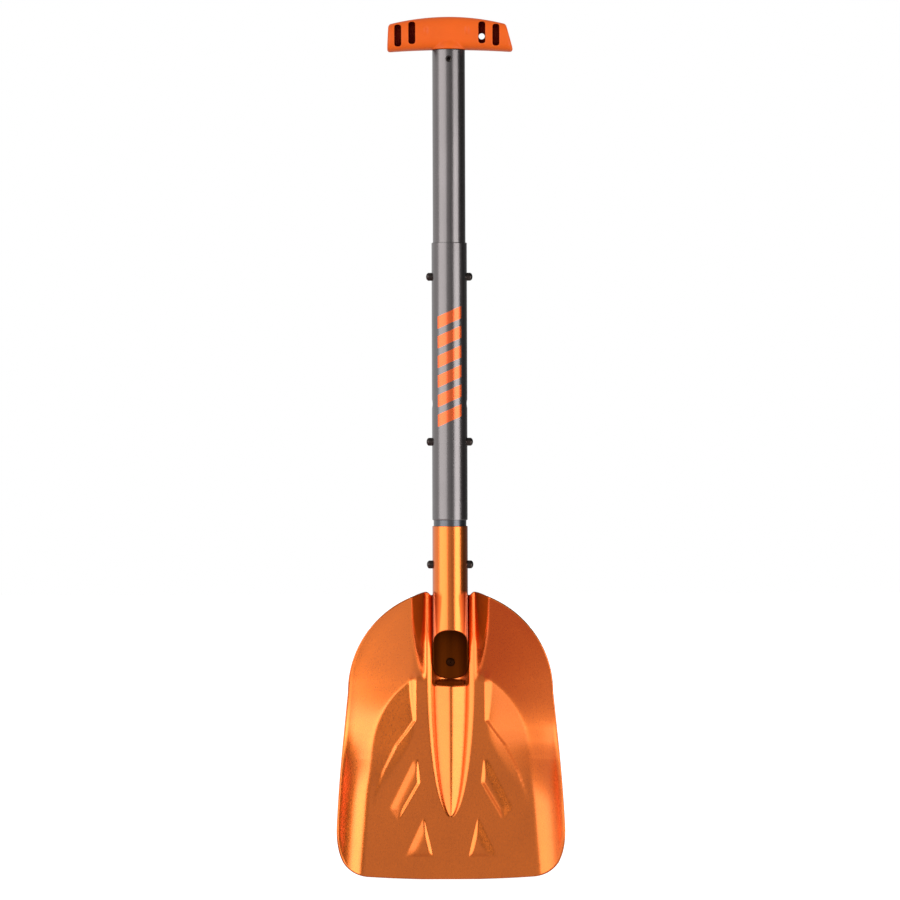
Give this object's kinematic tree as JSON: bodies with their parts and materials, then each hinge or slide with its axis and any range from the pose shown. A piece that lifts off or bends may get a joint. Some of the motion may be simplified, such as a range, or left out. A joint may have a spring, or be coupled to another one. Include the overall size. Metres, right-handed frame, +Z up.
{
  "type": "avalanche shovel",
  "caption": "Take-apart avalanche shovel: pressed scoop blade with a riveted tube socket, telescoping two-size tube shaft with double snap buttons, and a moulded T-grip.",
  "frame": {"origin": "bottom centre of the bounding box: level with the middle of the blade's cutting edge, 7 mm in front of the shaft's axis", "axes": "+Z up the shaft from the blade to the grip, -Y the way the scoop opens, +X to the right of a viewer who looks into the scoop"},
  "size_m": [0.2142, 0.0566, 0.8136],
  "materials": {
    "anodised_orange_sheet": "satin anodised",
    "anodised_orange_tube": "satin anodised, drawn",
    "anodised_grey_tube": "satin anodised, drawn",
    "grip_plastic": "moulded, fine matt texture",
    "button_steel": "dark plated",
    "spring_steel": "plain spring steel",
    "rivet_aluminium": "anodised with the blade"
  },
  "bodies": {
    "blade": {"blade": "anodised_orange_sheet", "socket_tube": "anodised_orange_tube", "blade_rivet_lower": "rivet_aluminium", "blade_rivet_upper": "rivet_aluminium"},
    "coupler": {"coupler_tube": "anodised_grey_tube", "socket_clip_spring": "spring_steel", "shaft_clip_spring": "spring_steel"},
    "shaft": {"shaft_tube": "anodised_grey_tube"},
    "handle": {"handle_tube": "anodised_grey_tube", "telescope_clip_spring": "spring_steel", "grip": "grip_plastic", "grip_pin": "button_steel"},
    "socket_button_left": {"socket_button_left": "button_steel"},
    "socket_button_right": {"socket_button_right": "button_steel"},
    "shaft_button_left": {"shaft_button_left": "button_steel"},
    "shaft_button_right": {"shaft_button_right": "button_steel"},
    "telescope_button_left": {"telescope_button_left": "button_steel"},
    "telescope_button_right": {"telescope_button_right": "button_steel"}
  },
  "joints": [
    {"name": "coupler_pull", "type": "slide", "parent": "blade", "child": "coupler", "axis": [0, 0, 1], "range_m": [0, 0.075], "deforming": ["socket_clip_spring", "socket_button_left", "socket_button_right"]},
    {"name": "shaft_pull", "type": "slide", "parent": "coupler", "child": "shaft", "axis": [0, 0, 1], "range_m": [0, 0.1], "deforming": ["shaft_clip_spring", "shaft_button_left", "shaft_button_right"]},
    {"name": "telescope", "type": "slide", "parent": "shaft", "child": "handle", "axis": [0, 0, 1], "range_m": [-0.12, 0.06], "deforming": ["telescope_clip_spring", "telescope_button_left", "telescope_button_right"]},
    {"name": "socket_press_left", "type": "slide", "parent": "coupler", "child": "socket_button_left", "axis": [1, 0, 0], "range_m": [0, 0.007], "stiffness_N_per_m": 600},
    {"name": "socket_press_right", "type": "slide", "parent": "coupler", "child": "socket_button_right", "axis": [-1, 0, 0], "range_m": [0, 0.007], "stiffness_N_per_m": 600},
    {"name": "shaft_press_left", "type": "slide", "parent": "coupler", "child": "shaft_button_left", "axis": [1, 0, 0], "range_m": [0, 0.007], "stiffness_N_per_m": 600},
    {"name": "shaft_press_right", "type": "slide", "parent": "coupler", "child": "shaft_button_right", "axis": [-1, 0, 0], "range_m": [0, 0.007], "stiffness_N_per_m": 600},
    {"name": "telescope_press_left", "type": "slide", "parent": "handle", "child": "telescope_button_left", "axis": [1, 0, 0], "range_m": [0, 0.007], "stiffness_N_per_m": 600},
    {"name": "telescope_press_right", "type": "slide", "parent": "handle", "child": "telescope_button_right", "axis": [-1, 0, 0], "range_m": [0, 0.007], "stiffness_N_per_m": 600}
  ],
  "couplings": [
    {"joint": "socket_press_right", "follows": "socket_press_left", "ratio": 1},
    {"joint": "shaft_press_right", "follows": "shaft_press_left", "ratio": 1},
    {"joint": "telescope_press_right", "follows": "telescope_press_left", "ratio": 1}
  ]
}
